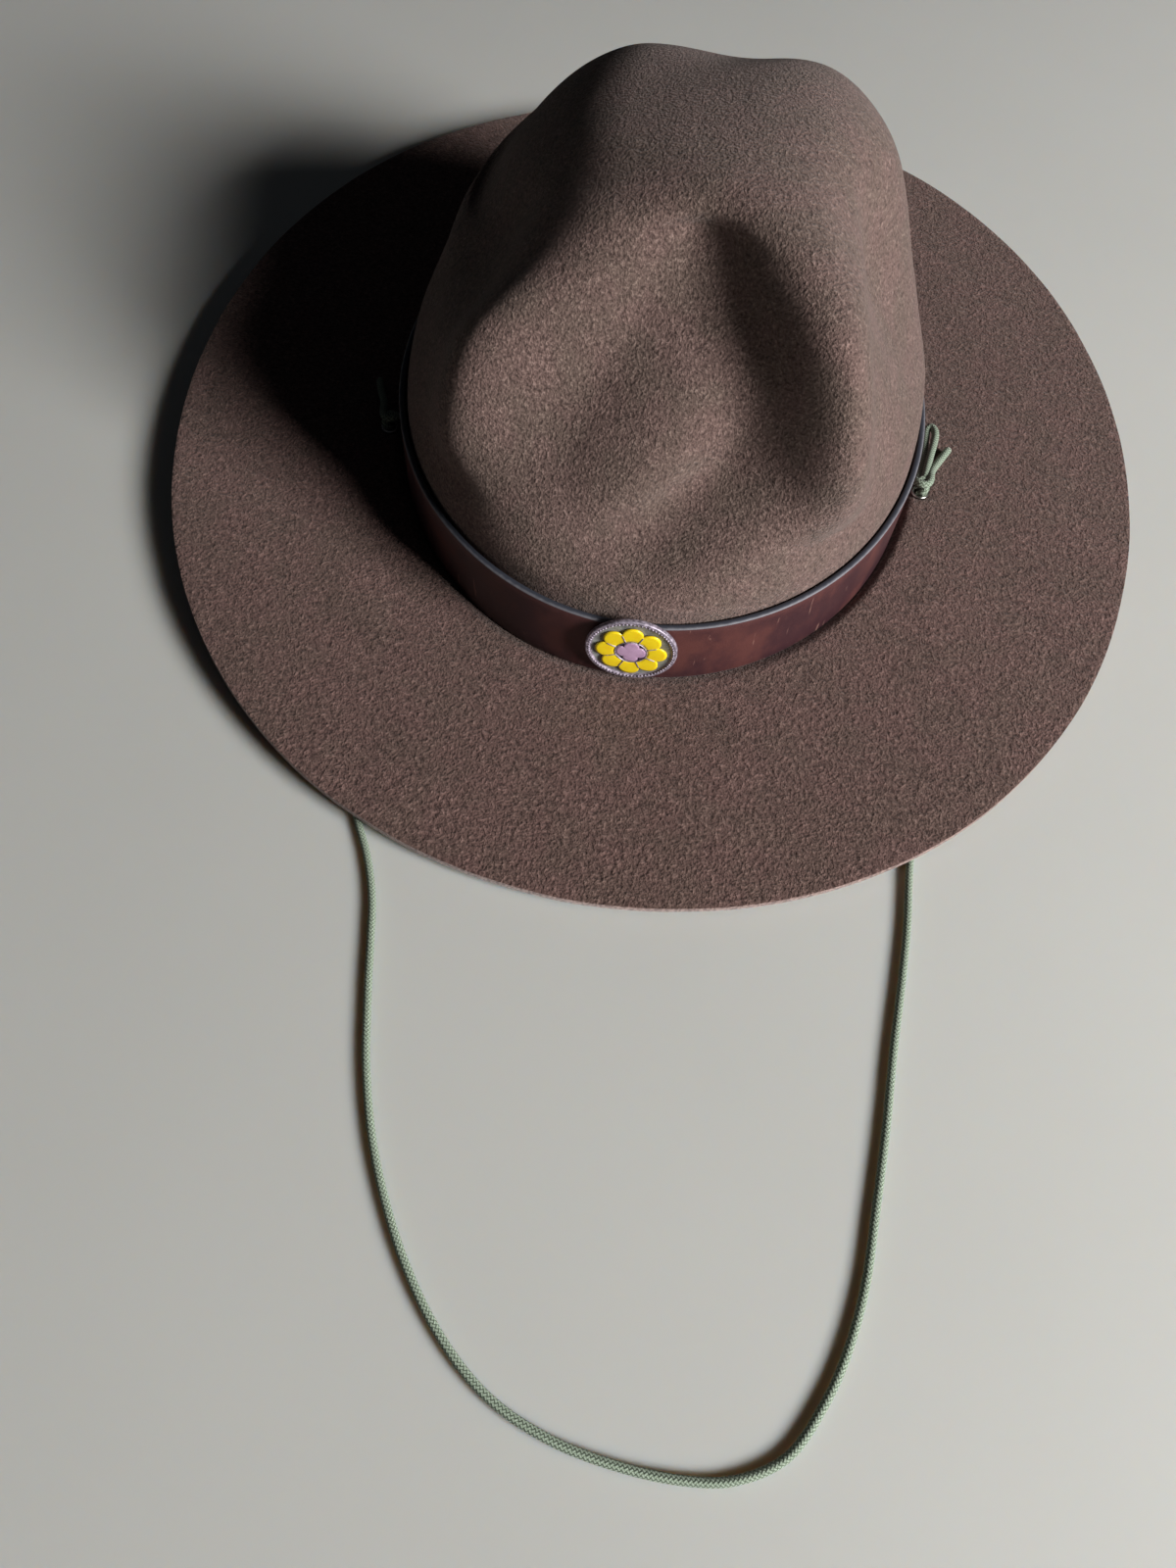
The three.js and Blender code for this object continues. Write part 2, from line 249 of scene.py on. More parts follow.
@dataclass(frozen=True)
class FeltFinish:
    """Brown fur felt: a short nap with pale and dark hairs, coarser on the brim; its colour is also darker in
    the nap's hollows as painted shade and paler on its tufts as painted highlight.
    """

    name: str = "fur_felt"
    dark: Colour = (0.071, 0.047, 0.041)
    middle: Colour = (0.142, 0.097, 0.084)
    pale: Colour = (0.27, 0.194, 0.168)
    rosy: Colour = (1.06, 1.0, 1.01)
    mossy: Colour = (0.94, 0.95, 0.92)
    brim: Colour = (0.94, 0.85, 0.85)
    hair: float = 0.5 * MM
    tuft: float = 1.0 * MM
    patch: float = 7 * MM
    relief: float = 1.25 * MM

    def material(self) -> Material:
        """The felt's surface."""
        bench = Bench(self.name)
        coarse = bench.attribute("coarse")
        hairs = bench.noise(self.hair, 3, rough=0.6)
        tufts = bench.noise(self.tuft, 3, rough=0.65)
        nap = bench.between(bench.math("MULTIPLY_ADD", coarse, 0.3, 0.4), hairs, tufts)
        # painted shade and highlight: the colour follows the same nap height as the bump, darker in the
        # hollows and paler on the tufts, along with the hairs' own tone
        shade = bench.mix(bench.ramp(nap, 0.34, 0.5), self.dark, self.middle)
        shade = bench.mix(bench.ramp(nap, 0.52, 0.7), shade, self.pale)
        tint = bench.mix(bench.ramp(bench.noise(self.patch, 3), 0.35, 0.65), self.rosy, self.mossy)
        colour = bench.mix(coarse, bench.mix(1.0, shade, tint, "MULTIPLY"), self.brim, "MULTIPLY")
        bench.bump(nap, self.relief)
        return bench.finish(
            Base_Color=colour,
            Roughness=0.95,
            Specular_IOR_Level=0.15,
            Sheen_Weight=0.2,
            Sheen_Roughness=0.5,
            Sheen_Tint=(0.8, 0.74, 0.72, 1),
        )


@dataclass(frozen=True)
class CutFeltFinish:
    """The brim's cut edge: the same felt, paler and pinker where the blade went through."""

    name: str = "cut_felt"
    dark: Colour = (0.13, 0.08, 0.07)
    pale: Colour = (0.36, 0.25, 0.22)
    hair: float = 0.5 * MM

    def material(self) -> Material:
        """The cut edge's surface."""
        bench = Bench(self.name)
        hairs = bench.noise(self.hair, 2)
        bench.bump(hairs, 0.3 * MM, 0.5)
        colour = bench.mix(bench.ramp(hairs, 0.35, 0.65), self.dark, self.pale)
        return bench.finish(Base_Color=colour, Roughness=0.95, Specular_IOR_Level=0.15, Sheen_Weight=0.3)


@dataclass(frozen=True)
class LeatherFinish:
    """Harness leather, dark red-brown with a half gloss, with rubbed spots and a few scratches."""

    name: str = "harness_leather"
    deep: Colour = (0.044, 0.017, 0.021)
    warm: Colour = (0.1, 0.033, 0.029)
    rubbed: Colour = (0.3, 0.16, 0.13)
    grain: float = 0.7 * MM
    pore: float = 0.3 * MM
    cloud: float = 11 * MM
    scuff: float = 1.6 * MM
    scratch: float = 0.9 * MM
    scratch_lean: Point = (0.0, 0.75, 0.0)

    def material(self) -> Material:
        """The leather's face."""
        bench = Bench(self.name)
        rise = bench.attribute("rise")
        clouds = bench.noise(self.cloud, 4, bench.place((1, 1, 0.8)), 0.6)
        edge_warmth = bench.times(bench.ramp(rise, 0.82, 0.97), 0.6)
        warmth = bench.math("MAXIMUM", bench.ramp(clouds, 0.4, 0.72), edge_warmth)
        colour = bench.mix(warmth, self.deep, self.warm)
        scuffs = bench.ramp(bench.noise(self.scuff, 4, bench.place((1, 1, 0.4)), 0.7), 0.67, 0.76)
        tilted = bench.place((1.0, 0.15, 0.1), self.scratch_lean)
        scratches = bench.ramp(bench.noise(self.scratch, 2, tilted, 0.4), 0.71, 0.75)
        rub = bench.math("MAXIMUM", scuffs, scratches)
        colour = bench.mix(bench.times(rub, 0.55), colour, self.rubbed)
        grain = bench.times(bench.cells(self.grain), 0.5)
        pores = bench.times(bench.noise(self.pore), 0.3)
        bench.bump(bench.math("ADD", grain, pores), 0.08 * MM, 0.4)
        gloss = bench.spread(clouds, 0.34, 0.5)
        return bench.finish(Base_Color=colour, Roughness=gloss, Specular_IOR_Level=0.5)


@dataclass(frozen=True)
class BurnishedEdgeFinish:
    """The band's burnished edges: blue-grey, with a painted pale highlight line along the outer corner."""

    name: str = "burnished_edge"
    dark: Colour = (0.036, 0.04, 0.055)
    pale_highlight: Colour = (0.17, 0.165, 0.185)

    def material(self) -> Material:
        """The edge's surface."""
        bench = Bench(self.name)
        across = bench.attribute("across")
        speck = bench.noise(1.2 * MM, 3)
        # painted highlight: the edge turns paler towards its outer corner, broken up by specks
        highlight_share = bench.ramp(bench.math("ADD", across, bench.times(speck, 0.4)), 0.75, 1.25)
        bench.bump(speck, 0.1 * MM, 0.4)
        return bench.finish(Base_Color=bench.mix(highlight_share, self.dark, self.pale_highlight), Roughness=0.6)


@dataclass(frozen=True)
class MetalFinish:
    """A cast or plated metal, dulled in its hollows."""

    name: str
    bright: Colour
    dull: Colour
    spot: float
    roughness: tuple[float, float]
    metallic: float
    relief: float

    def material(self) -> Material:
        """The metal's surface."""
        bench = Bench(self.name)
        spots = bench.noise(self.spot, 4, rough=0.6)
        colour = bench.mix(bench.ramp(spots, 0.35, 0.65), self.dull, self.bright)
        rough = bench.spread(spots, *self.roughness)
        bench.bump(spots, self.relief, 0.5)
        return bench.finish(Base_Color=colour, Metallic=self.metallic, Roughness=rough)


@dataclass(frozen=True)
class EnamelFinish:
    """Hard enamel, glossy, with a faint unevenness in its colour."""

    name: str
    full: Colour
    thin: Colour

    def material(self) -> Material:
        """The enamel's surface."""
        bench = Bench(self.name)
        flow = bench.noise(1.6 * MM, 3)
        bench.bump(flow, 0.05 * MM, 0.4)
        colour = bench.mix(bench.ramp(flow, 0.4, 0.75), self.full, self.thin)
        return bench.finish(Base_Color=colour, Roughness=0.3, Coat_Weight=0.4, Coat_Roughness=0.15)


@dataclass(frozen=True)
class BraidFinish:
    """Olive braided cord: two sets of strands over and under each other round the cord, painted dark in the
    braid's hollows and pale on its crests.
    """

    name: str = "braided_cord"
    shadow: Colour = (0.06, 0.078, 0.05)
    strand: Colour = (0.23, 0.29, 0.21)
    crest_highlight: Colour = (0.42, 0.5, 0.4)
    strands: float = 6
    pitch: float = 1.1 * MM
    sealed: Colour = (0.5, 0.46, 0.42)

    def material(self) -> Material:
        """The cord's surface. Its map holds metres along the cord, then a share of the way round."""
        bench = Bench(self.name)
        split = bench.nodes.new("ShaderNodeSeparateXYZ")
        bench.plug(split.inputs[0], bench.coords.outputs["UV"])
        along = bench.math("DIVIDE", split.outputs[0], self.pitch)
        turn = bench.times(split.outputs[1], self.strands)
        one, two = bench.math("ADD", turn, along), bench.math("SUBTRACT", turn, along)
        waves = [bench.math("SINE", bench.times(strand, math.pi)) for strand in (one, two)]
        floors = bench.math("ADD", bench.math("FLOOR", one), bench.math("FLOOR", two))
        over = bench.math("FLOORED_MODULO", floors, 2)
        braid = bench.between(over, *[bench.math("ABSOLUTE", wave) for wave in waves])
        fuzz = bench.noise(0.35 * MM, 2)
        relief = bench.math("ADD", braid, bench.times(fuzz, 0.5))
        # painted shade and highlight: the braid is coloured darkest in its hollows and palest on the strands'
        # crests
        shade = bench.mix(bench.ramp(relief, 0.25, 0.95), self.shadow, self.strand)
        shade = bench.mix(bench.ramp(relief, 0.95, 1.35), shade, self.crest_highlight)
        colour = bench.mix(bench.attribute("sealed"), shade, self.sealed)
        bench.bump(relief, 0.14 * MM, 0.9)
        return bench.finish(Base_Color=colour, Roughness=0.85, Specular_IOR_Level=0.3, Sheen_Weight=0.15)


@dataclass(frozen=True)
class FloorFinish:
    """A plain pale floor with a faint unevenness."""

    name: str = "pale_floor"
    light: Colour = (0.62, 0.62, 0.59)
    shade: Colour = (0.56, 0.56, 0.53)

    def material(self) -> Material:
        """The floor's surface, which lets a little light in under narrow shadows."""
        bench = Bench(self.name)
        cloud = bench.noise(0.12, 3)
        return bench.finish(
            Base_Color=bench.mix(cloud, self.light, self.shade),
            Roughness=0.7,
            Specular_IOR_Level=0.3,
            Subsurface_Weight=1.0,
            Subsurface_Radius=(1.0, 0.75, 0.55),
            Subsurface_Scale=6 * MM,
        )


# Making pieces


def put_in_scene(name: str, data: bpy.types.ID) -> bpy.types.Object:
    """A new object in the scene, with the given data."""
    obj = bpy.data.objects.new(name, data)
    bpy.context.scene.collection.objects.link(obj)
    return obj


def mesh_object(
    name: str, bm: BMesh, materials: Sequence[Material]
) -> bpy.types.Object:
    """A new object of a finished bmesh, which is freed here, and its materials."""
    mesh = bpy.data.meshes.new(name)
    bm.to_mesh(mesh)
    bm.free()
    for material in materials:
        mesh.materials.append(material)
    return put_in_scene(name, mesh)


def add_piece(
    name: str,
    bm: BMesh,
    materials: Sequence[Material],
    replaces: Sequence[str] = (),
) -> bpy.types.Object:
    """Makes an object of a finished bmesh and puts it on the hat.

    Args:
        name: the piece's name.
        bm: its mesh in the hat's frame, which is freed here.
        materials: its materials, in the order of the faces' material numbers.
        replaces: the CAD nodes that it stands for.

    Returns:
        The new object.
    """
    obj = mesh_object(name, bm, materials)
    obj.data.shade_smooth()
    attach(obj, "root")
    if replaces:
        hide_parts(*replaces)
    log.info("%s: %d faces", name, len(obj.data.polygons))
    return obj


def spun(profile: Sequence[tuple[float, float]], steps: int, closed: bool = False) -> BMesh:
    """A shape turned round the Z axis.

    Args:
        profile: distance from the axis and height of each point, in metres.
        steps: how many steps a full turn takes.
        closed: whether the last point joins the first.

    Returns:
        The turned mesh, with its faces pointing out.
    """
    bm = bmesh.new()
    verts = [bm.verts.new((across, 0, height)) for across, height in profile]
    edges = [bm.edges.new(pair) for pair in zip(verts, verts[1:])]
    if closed:
        edges.append(bm.edges.new((verts[-1], verts[0])))
    bmesh.ops.spin(
        bm, geom=verts + edges, cent=(0, 0, 0), axis=(0, 0, 1), angle=FULL_TURN, steps=steps, use_merge=True
    )
    return sewn(bm)


@dataclass(frozen=True)
class Cord:
    """A round braided cord along given points."""

    radius: float = 1.1 * MM
    sides: int = 16
    step: float = 0.6 * MM
    end_seam: float = 0.005 * MM

    def follow(self, points: Sequence[Sequence[float]]) -> np.ndarray:
        """A close row of places along the points, given in millimetres, a step apart."""
        rows = np.array(points, float) * MM
        fine = catmull_rom(rows, np.linspace(0, 1, 40 * len(rows)))
        run = np.concatenate([[0], np.cumsum(np.linalg.norm(np.diff(fine, axis=0), axis=1))])
        count = max(8, round(run[-1] / self.step)) + 1
        even = np.linspace(0, run[-1], count)
        return np.stack([np.interp(even, run, fine[:, k]) for k in range(3)], 1)

    def frames(self, route: np.ndarray) -> tuple[np.ndarray, np.ndarray]:
        """Two directions square to the route at each place, turned as little as possible along it."""
        ways = np.gradient(route, axis=0)
        ways /= np.linalg.norm(ways, axis=1)[:, None]
        side = np.cross(ways[0], (0.31, 0.17, 0.93))
        sides = []
        for way in ways:
            side = side - way * (side @ way)
            side /= np.linalg.norm(side)
            sides.append(side)
        first = np.array(sides)
        return first, np.cross(ways, first)

    def tube(self, points: Sequence[Sequence[float]], seals: tuple[bool, bool] = (False, False)) -> BMesh:
        """The cord as a closed tube with rounded ends.

        Args:
            points: places that it goes through, in millimetres.
            seals: whether its first and last ends are sealed by heat.

        Returns:
            The tube, with a map that follows it and a sealed share on its vertices.
        """
        route = self.follow(points)
        first, second = self.frames(route)
        reach = np.linalg.norm(np.diff(route, axis=0), axis=1).sum()
        bm = bmesh.new()
        uv = bm.loops.layers.uv.new("braid")
        bmesh.ops.create_grid(bm, x_segments=len(route) - 1, y_segments=self.sides, size=1)
        flat = positions(bm)
        along, around = (flat[:, 0] + 1) / 2, (flat[:, 1] + 1) / 2
        here = along * (len(route) - 1)
        at = lambda rows: np.stack([np.interp(here, np.arange(len(rows)), rows[:, k]) for k in range(3)], 1)
        to_end = np.minimum(along, 1 - along) * reach
        round_off = np.sqrt(np.clip(1 - (1 - np.clip(to_end / self.radius, 0, 1)) ** 2, 0, 1))
        spoke = (self.radius * round_off)[:, None]
        angle = (around * FULL_TURN)[:, None]
        for face in bm.faces:
            for loop in face.loops:
                index = loop.vert.index
                loop[uv].uv = (along[index] * reach, around[index])
        sealed = bm.verts.layers.float.new("sealed")
        burnt = np.zeros(len(along))
        for wanted, distance in zip(seals, (along * reach, (1 - along) * reach)):
            if wanted:
                burnt = np.maximum(burnt, 1 - smoothstep(distance, 0.5 * MM, 1.4 * MM))
        for vert, share in zip(bm.verts, burnt):
            vert[sealed] = share
        move_to(bm, at(route) + spoke * (np.cos(angle) * at(first) + np.sin(angle) * at(second)))
        return sewn(bm, self.end_seam)


def merged(parts: Sequence[BMesh]) -> BMesh:
    """Several bmeshes as one."""
    whole = parts[0]
    for part in parts[1:]:
        carrier = bpy.data.meshes.new("carrier")
        part.to_mesh(carrier)
        part.free()
        whole.from_mesh(carrier)
        bpy.data.meshes.remove(carrier)
    return whole


# Studio


@dataclass
class Studio:
    """The camera at the photograph's angle, one near light from the front right, and a pale floor."""

    camera_place: tuple[float, float, float] = (-2.89 * MM, -305.32 * MM, 292.53 * MM)
    pitch: float = math.radians(60.89)
    roll: float = math.radians(5.86)
    pan: float = math.radians(-1.66)
    focal_pixels: float = 1152.98
    sensor: float = 36.0
    key_azimuth: float = math.radians(60)
    key_elevation: float = math.radians(27)
    key_distance: float = 1.8
    key_size: tuple[float, float] = (0.6, 0.5)
    key_power: float = 54.0
    key_colour: Colour = (1.0, 0.99, 0.98)
    room_light: float = 0.012
    room_colour: Colour = (0.8, 0.88, 1.0)
    floor_reach: float = 6.0

    def camera(self) -> bpy.types.Object:
        """The camera, placed and turned as the photograph's was."""
        data = bpy.data.cameras.new("photo_camera")
        data.sensor_width = self.sensor
        data.lens = self.focal_pixels / max(PHOTO_SIZE) * self.sensor
        data.clip_start, data.clip_end = 0.01, 50
        ahead = Vector((
            math.sin(self.pan) * math.cos(self.pitch),
            math.cos(self.pan) * math.cos(self.pitch),
            -math.sin(self.pitch),
        ))
        level = Vector((math.cos(self.pan), -math.sin(self.pan), 0))
        above = level.cross(ahead)
        right = math.cos(self.roll) * level + math.sin(self.roll) * above
        up = -math.sin(self.roll) * level + math.cos(self.roll) * above
        turn = Matrix((right, up, -ahead)).transposed().to_4x4()
        obj = put_in_scene("photo_camera", data)
        obj.matrix_world = Matrix.Translation(self.camera_place) @ turn
        bpy.context.scene.camera = obj
        return obj

    def key_light(self) -> bpy.types.Object:
        """The near light from the front right, which is brighter on the hat's front than on its back."""
        data = bpy.data.lights.new("key_light", "AREA")
        data.shape = "RECTANGLE"
        data.size, data.size_y = self.key_size
        data.energy = self.key_power
        data.color = self.key_colour
        towards = Vector((
            math.sin(self.key_azimuth) * math.cos(self.key_elevation),
            -math.cos(self.key_azimuth) * math.cos(self.key_elevation),
            math.sin(self.key_elevation),
        ))
        obj = put_in_scene("key_light", data)
        obj.location = towards * self.key_distance
        obj.rotation_euler = towards.to_track_quat("Z", "Y").to_euler()
        return obj

    def room(self) -> None:
        """The faint light of the room, and plain colour handling."""
        world = bpy.data.worlds.new("room")
        world.use_nodes = True
        background = world.node_tree.nodes["Background"]
        background.inputs["Color"].default_value = (*self.room_colour, 1)
        background.inputs["Strength"].default_value = self.room_light
        scene = bpy.context.scene
        scene.world = world
        scene.view_settings.view_transform = "Standard"

    def floor(self) -> bpy.types.Object:
        """The pale floor, which isn't part of the hat."""
        bm = bmesh.new()
        bmesh.ops.create_grid(bm, x_segments=1, y_segments=1, size=self.floor_reach)
        obj = mesh_object("floor", bm, (FloorFinish().material(),))
        return obj

    def build(self) -> None:
        """Sets up the camera, the light and the floor."""
        self.camera()
        self.key_light()
        self.room()
        self.floor()
        log.info("studio: camera, key light and floor")


# The felt


class CrownRow(NamedTuple):
    """One of the ovals that make the crown before it is pinched, in millimetres. It leans up towards +X."""

    height: float
    half_width: float
    half_length: float
    right: float
    back: float
    lean: float


class CreaseStop(NamedTuple):
    """A place on a crease: height, degrees from the front to +X, depth, and half widths to -X and +X."""

    height: float
    azimuth: float
    depth: float
    wide_left: float
    wide_right: float


Crease = tuple[CreaseStop, ...]


def crease(*stops: Sequence[float]) -> Crease:
    """A crease's stops, from the lowest to the highest."""
    return tuple(CreaseStop(*stop) for stop in stops)


@dataclass(frozen=True)
class Crown:
    """The crown: ovals one above the other, pinched in along its creases."""

    rows: tuple[CrownRow, ...] = (
        CrownRow(14, 85.4, 102.0, 0, 0, 0),
        CrownRow(30, 84.9, 101.4, 0.1, 0, 0),
        CrownRow(44, 82.2, 99.2, 0.6, 0, 0),
        CrownRow(60, 76.8, 93.8, 0.8, 0, 0),
        CrownRow(75, 71.0, 87.0, 1.0, 0, 0),
        CrownRow(89, 65.0, 78.5, 1.6, 0, 1),
        CrownRow(100, 58.0, 69.0, 2.6, 0, 2),
        CrownRow(107.6, 50.0, 59.0, 3.5, 1, 2.5),
        CrownRow(112.6, 40.0, 49.0, 5.5, 3, 3),
        CrownRow(116.6, 28.0, 37.0, 8.5, 5, 2.5),
        CrownRow(119.3, 15.0, 21.0, 12.0, 6, 1.5),
        CrownRow(120.5, 0, 0, 14.0, 6, 0),
    )
    front: Crease = crease(
        (34, -4, 0, 34, 50), (46, -10, 7, 28, 52), (58, -17, 15, 26, 56), (72, -15, 24, 29, 54),
        (86, -9, 30, 34, 48), (98, -4, 29, 36, 42), (107, 0, 24, 36, 36), (112, 4, 15, 32, 32),
        (116, 8, 6, 26, 26), (118.6, 10, 0, 20, 20),
    )
    front_right: Crease = crease(
        (34, -4, 0, 18, 14), (43, 0, 8, 22, 14), (50, 7, 14, 22, 16), (57, 13, 16, 22, 18),
        (66, 18, 13, 24, 16), (80, 22, 10, 26, 12), (92, 20, 10, 26, 11), (104, 17, 8, 22, 12),
        (112, 16, 0, 18, 14),
    )
    left: Crease = crease(
        (46, -82, 0, 22, 24), (62, -82, 4, 22, 26), (76, -82, 8, 22, 26), (90, -80, 10, 22, 24),
        (102, -80, 8, 20, 22), (111, -80, 3, 18, 20), (117, -80, 0, 18, 20),
    )
    right: Crease = crease(
        (46, 80, 0, 24, 22), (60, 78, 5, 24, 24), (76, 74, 10, 22, 26), (90, 72, 13, 20, 26),
        (102, 72, 10, 18, 24), (111, 74, 4, 16, 20), (117, 76, 0, 16, 18),
    )
    left_corner: Crease = crease(
        (44, -42, 0, 16, 16), (58, -42, -7, 15, 15), (76, -44, -9, 14, 14), (94, -48, -6, 14, 14),
        (108, -56, 0, 12, 12),
    )
    right_corner: Crease = crease(
        (44, 36, 0, 15, 16), (58, 35, -10, 13, 14), (74, 34, -18, 12, 14), (90, 34, -21, 11, 14),
        (102, 34, -20, 11, 14), (110, 35, -14, 11, 12), (115, 37, -6, 11, 12), (118.6, 40, 0, 11, 12),
    )
    back_left: Crease = crease(
        (60, -130, 0, 40, 40), (80, -130, -7, 40, 40), (100, -130, -13, 36, 36), (110, -132, -14, 30, 32),
        (116, -134, -11, 26, 28), (118.6, -134, -6, 24, 24),
    )
    hollow_from: tuple[float, float] = (10, 75)
    hollow_to: tuple[float, float] = (12, 48)
    hollow_depth: float = 6
    hollow_width: float = 20
    hollow_levels: tuple[float, float] = (80, 100)
    fall_bend: float = 0.010
    fall_from: float = -18
    fall_levels: tuple[float, float] = (60, 105)
    fall_behind: tuple[float, float] = (-60, -30)
    tilt_slope: float = 0.1
    tilt_from: float = 0
    tilt_ease: float = 12
    tilt_turn: float = 30
    tilt_levels: tuple[float, float] = (80, 108)
    calm_radius: float = 25

    def creases(self) -> tuple[Crease, ...]:
        """All the creases of the crown's wall, and its two front corners and back bulge, which stand out."""
        pressed = (self.front, self.front_right, self.left, self.right)
        return (*pressed, self.left_corner, self.right_corner, self.back_left)

    def surface(self, azimuth: np.ndarray, level: np.ndarray) -> np.ndarray:
        """Places on the crown's outer face.

        Args:
            azimuth: turns from the front towards +X, in radians.
            level: from 0 just above the brim to 1 at the peak.

        Returns:
            One row of metres for each place.
        """
        height, half_width, half_length, right, back, lean = catmull_rom(np.array(self.rows, float), level).T
        x = right + half_width * np.sin(azimuth)
        y = back - half_length * np.cos(azimuth)
        radius = np.hypot(x, y)
        around = np.arctan2(x, -y)
        inward = sum(self.dent(one, around, radius, height) for one in self.creases())
        keep = 1 - inward * np.clip(radius / self.calm_radius, 0, 1) / np.maximum(radius, SAME_PLACE)
        x, y = x * keep, y * keep
        fall = self.fall(x, y, height) + self.hollow(x, y, height)
        return np.stack([x, y, height + lean * np.sin(azimuth) - fall], 1) * MM

    def dent(self, line: Crease, around: np.ndarray, radius: np.ndarray, height: np.ndarray) -> np.ndarray:
        """How far a crease presses each place in, in millimetres."""
        stops = np.array(line, float)
        spans = len(stops) - 1
        span = np.clip(np.searchsorted(stops[:, 0], height) - 1, 0, spans - 1)
        share = np.clip((height - stops[span, 0]) / (stops[span + 1, 0] - stops[span, 0]), 0, 1)
        middle, depth, left, right = catmull_rom(stops[:, 1:], (span + share) / spans).T
        away = (around - np.radians(middle) + math.pi) % FULL_TURN - math.pi
        return depth * np.exp(-((radius * away / np.where(away < 0, left, right)) ** 2))

    def fall(self, x: np.ndarray, y: np.ndarray, height: np.ndarray) -> np.ndarray:
        """How far each place sinks, in millimetres, by a bend towards -X and a tilt to the back left."""
        bend = self.fall_bend * np.clip(self.fall_from - x, 0, None) ** 2
        turn = math.radians(self.tilt_turn)
        run = self.tilt_from - x * math.cos(turn) + y * math.sin(turn)
        tilt = self.tilt_slope * (run + np.hypot(run, self.tilt_ease)) / 2
        behind = smoothstep(y, *self.fall_behind)
        wall = bend * smoothstep(height, *self.fall_levels) * behind
        return wall + tilt * smoothstep(height, *self.tilt_levels) * behind

    def hollow(self, x: np.ndarray, y: np.ndarray, height: np.ndarray) -> np.ndarray:
        """How far the hollow along the top lowers each place, in millimetres."""
        start, end = np.array(self.hollow_from, float), np.array(self.hollow_to, float)
        line = end - start
        offset = np.stack([x, y], 1) - start
        along = np.clip(offset @ line / (line @ line), 0, 1)
        distance = np.linalg.norm(offset - along[:, None] * line, axis=1)
        low, high = self.hollow_levels
        fade = np.clip((height - low) / (high - low), 0, 1)
        return self.hollow_depth * np.exp(-((distance / self.hollow_width) ** 2)) * fade


@dataclass(frozen=True)
class Brim:
    """The flat brim, a little higher towards the back, which turns up into the crown."""

    crown_half_width: float = 85.4
    crown_half_length: float = 102.0
    half_width: float = 164.2
    half_length: float = 183.2
    squareness: float = 0.0045
    edge_mean: float = 7.8
    edge_to_the_back: float = 4.6
    edge_to_the_right: float = 0.3
    edge_at_the_ends: float = -0.4
    edge_skew: float = 0.6
    turn_width: float = 6.2
    turn_at_the_ends: float = 1.5
    turn_at_the_sides: float = 4.1

    def surface(self, azimuth: np.ndarray, outward: np.ndarray, share: np.ndarray, lift: float) -> np.ndarray:
        """Places on the brim.

        Args:
            azimuth: turns from the front towards +X, in radians.
            outward: millimetres out from the crown's foot.
            share: then the share of the way to the edge.
            lift: millimetres above the brim's underside.

        Returns:
            One row of metres for each place.
        """
        sin, cos = np.sin(azimuth), np.cos(azimuth)
        corner = 1 - self.squareness * np.cos(4 * azimuth)
        x = lerp((self.crown_half_width + outward) * sin, self.half_width * corner * sin, share)
        y = lerp(-(self.crown_half_length + outward) * cos, -self.half_length * corner * cos, share)
        turned = smoothstep(outward, 0, self.turn_width)
        rise = lerp(self.turn_at_the_ends, self.turn_at_the_sides, sin**2) * turned
        edge = (
            self.edge_mean
            - self.edge_to_the_back * cos
            + self.edge_to_the_right * sin
            + self.edge_at_the_ends * np.cos(2 * azimuth)
            - self.edge_skew * np.sin(2 * azimuth)
        )
        return np.stack([x, y, lerp(rise, edge, share) + lift], 1) * MM


